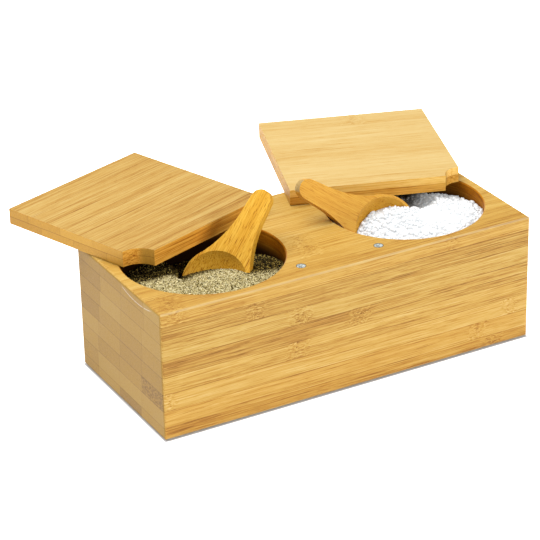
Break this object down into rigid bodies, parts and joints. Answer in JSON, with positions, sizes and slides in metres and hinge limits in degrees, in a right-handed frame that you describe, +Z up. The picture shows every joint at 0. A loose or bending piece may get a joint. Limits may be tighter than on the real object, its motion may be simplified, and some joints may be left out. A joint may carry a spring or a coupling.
{
  "type": "double salt box",
  "caption": "Laminated bamboo salt and pepper box: two round wells, each under a square lid that swivels on an upright pin, with a scooped spoon standing in the filling.",
  "frame": {"origin": "centre of the block's underside, on the table", "axes": "+X along the block to the salt well, +Y to the back where the lids pivot, +Z up"},
  "size_m": [0.2363, 0.154, 0.0925],
  "materials": {
    "bamboo_light": "satin, oiled bamboo",
    "bamboo": "satin, oiled bamboo",
    "bamboo_dark": "satin, oiled bamboo",
    "spoon_bamboo": "satin, oiled bamboo",
    "pin_steel": "plain steel dowel",
    "magnet": "nickel plated disc",
    "salt": "coarse clear to white crystals",
    "pepper": "ground pepper, dry and matt"
  },
  "bodies": {
    "box": {"body_board_1": "bamboo_light", "body_board_2": "bamboo", "body_board_3": "bamboo_light", "body_board_4": "bamboo", "body_board_5": "bamboo_light", "body_board_6": "bamboo", "body_board_7": "bamboo_light", "body_board_8": "bamboo", "left_pivot_pin": "pin_steel", "right_pivot_pin": "pin_steel", "left_body_magnet": "magnet", "right_body_magnet": "magnet", "pepper_fill": "pepper", "salt_fill": "salt"},
    "left_lid": {"left_lid_top_ply": "bamboo_light", "left_lid_bottom_ply": "bamboo_dark", "left_lid_magnet": "magnet"},
    "right_lid": {"right_lid_top_ply": "bamboo_light", "right_lid_bottom_ply": "bamboo_dark", "right_lid_magnet": "magnet"},
    "pepper_spoon_body": {"pepper_spoon": "spoon_bamboo", "pepper_scoop": "pepper"},
    "salt_spoon_body": {"salt_spoon": "spoon_bamboo", "salt_scoop": "salt"}
  },
  "joints": [
    {"name": "left_lid_swing", "type": "hinge", "parent": "box", "child": "left_lid", "pos_m": [-0.021, 0.032, 0.0653], "axis": [0, 0, 1], "range_deg": [0, 70.2]},
    {"name": "right_lid_swing", "type": "hinge", "parent": "box", "child": "right_lid", "pos_m": [0.021, 0.032, 0.0653], "axis": [0, 0, -1], "range_deg": [0, 71.3]},
    {"name": "pepper_spoon_lift", "type": "slide", "parent": "box", "child": "pepper_spoon_body", "axis": [0.1021, -0.5789, 0.809], "range_m": [0, 0.1125]},
    {"name": "salt_spoon_lift", "type": "slide", "parent": "box", "child": "salt_spoon_body", "axis": [0, -0.5878, 0.809], "range_m": [0, 0.1143]}
  ],
  "couplings": [
    {"joint": "pepper_spoon_lift", "follows": "left_lid_swing", "m_per_rad": 0.091673},
    {"joint": "salt_spoon_lift", "follows": "right_lid_swing", "m_per_rad": 0.091673}
  ]
}
